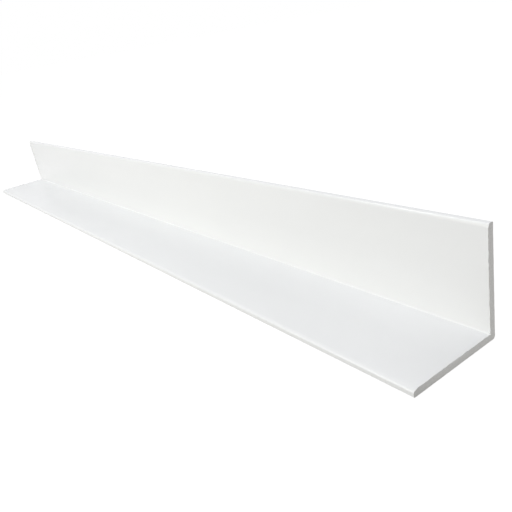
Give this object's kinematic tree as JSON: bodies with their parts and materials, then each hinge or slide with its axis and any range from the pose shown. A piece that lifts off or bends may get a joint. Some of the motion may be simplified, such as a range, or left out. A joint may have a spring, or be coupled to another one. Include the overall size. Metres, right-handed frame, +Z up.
{
  "type": "corner guard moulding",
  "caption": "Straight right-angle corner guard moulding in rigid white plastic, with two equal legs, rounded toes and square-sawn ends.",
  "frame": {"origin": "middle of the length and of the flat leg's width, at floor level", "axes": "+X along the length, +Y towards the upright leg, +Z up out of the floor"},
  "size_m": [0.6, 0.05, 0.05],
  "materials": {
    "white_plastic": "satin, as extruded, with dull sawn ends"
  },
  "bodies": {
    "root": {"corner_guard": "white_plastic"}
  },
  "joints": []
}
